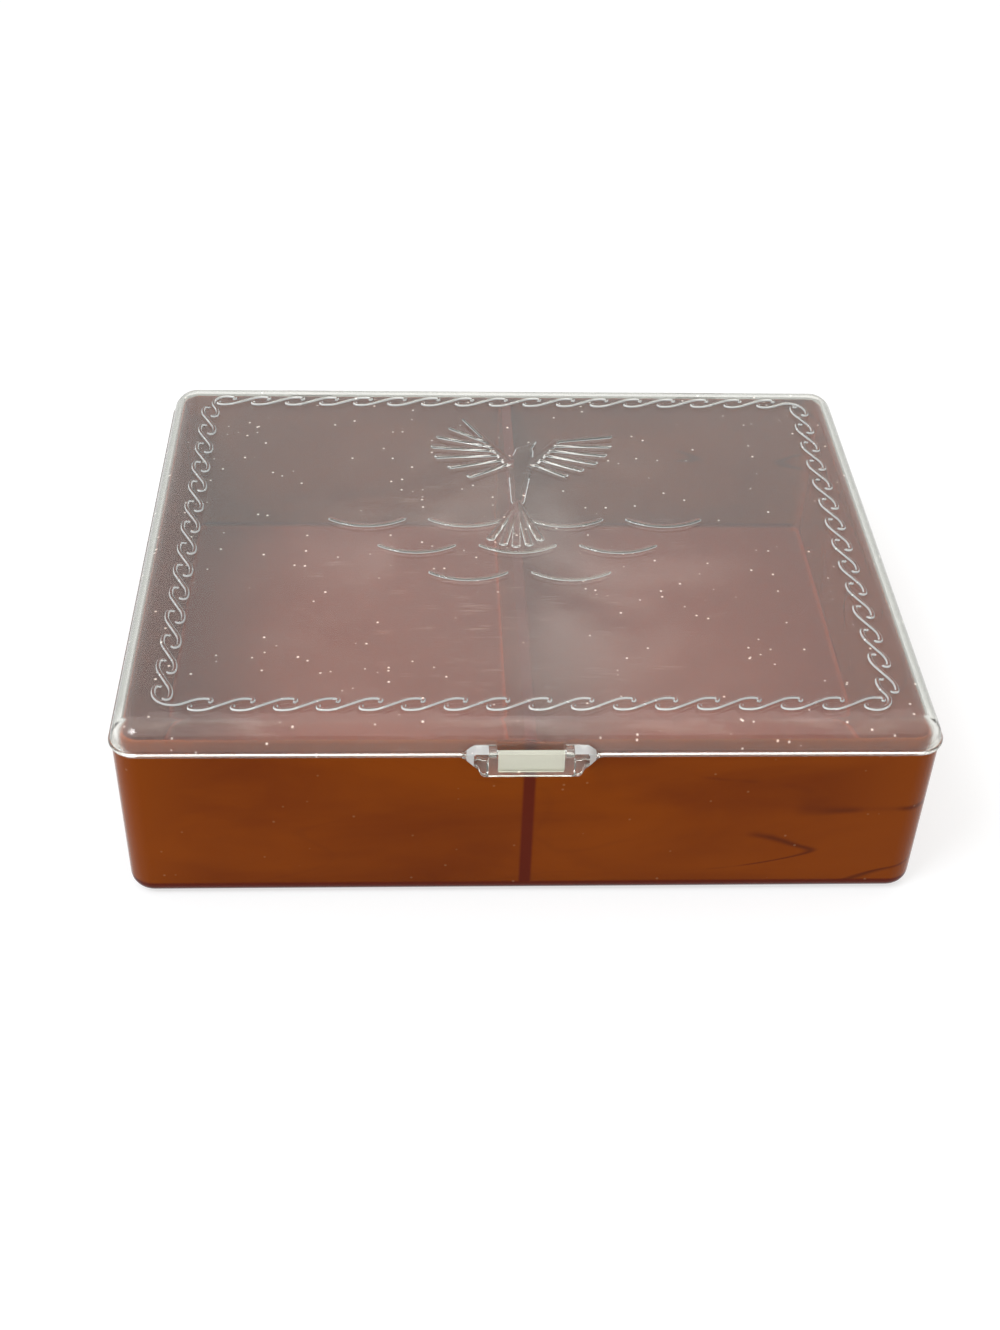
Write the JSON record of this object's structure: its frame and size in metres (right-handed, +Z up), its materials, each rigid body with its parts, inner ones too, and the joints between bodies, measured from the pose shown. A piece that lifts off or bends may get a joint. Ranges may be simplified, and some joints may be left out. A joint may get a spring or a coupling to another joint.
{
  "type": "handkerchief box",
  "caption": "Shallow rectangular plastic box with an amber translucent tray divided down the middle and a clear hinged lid with a front latch tab and raised scroll ornament.",
  "frame": {"origin": "middle of the tray's underside, on the surface that the box stands on", "axes": "+X to the right seen from the latch side, +Y towards the hinges, +Z up out of the lid"},
  "size_m": [0.17, 0.1459, 0.0461],
  "materials": {
    "amber_polystyrene": "translucent amber-brown moulded polystyrene, glossy, with faint flow marks",
    "clear_polystyrene": "clear moulded polystyrene, glossy, slightly hazed and finely scratched",
    "pin_steel": "plain drawn steel wire"
  },
  "bodies": {
    "tray": {"base_tray": "amber_polystyrene", "hinge_pin_left": "pin_steel", "hinge_pin_right": "pin_steel"},
    "lid": {"lid": "clear_polystyrene"}
  },
  "joints": [
    {"name": "lid_hinge", "type": "hinge", "parent": "tray", "child": "lid", "pos_m": [0, 0.071, 0.0367], "axis": [-1, 0, 0], "range_deg": [0, 110]}
  ]
}
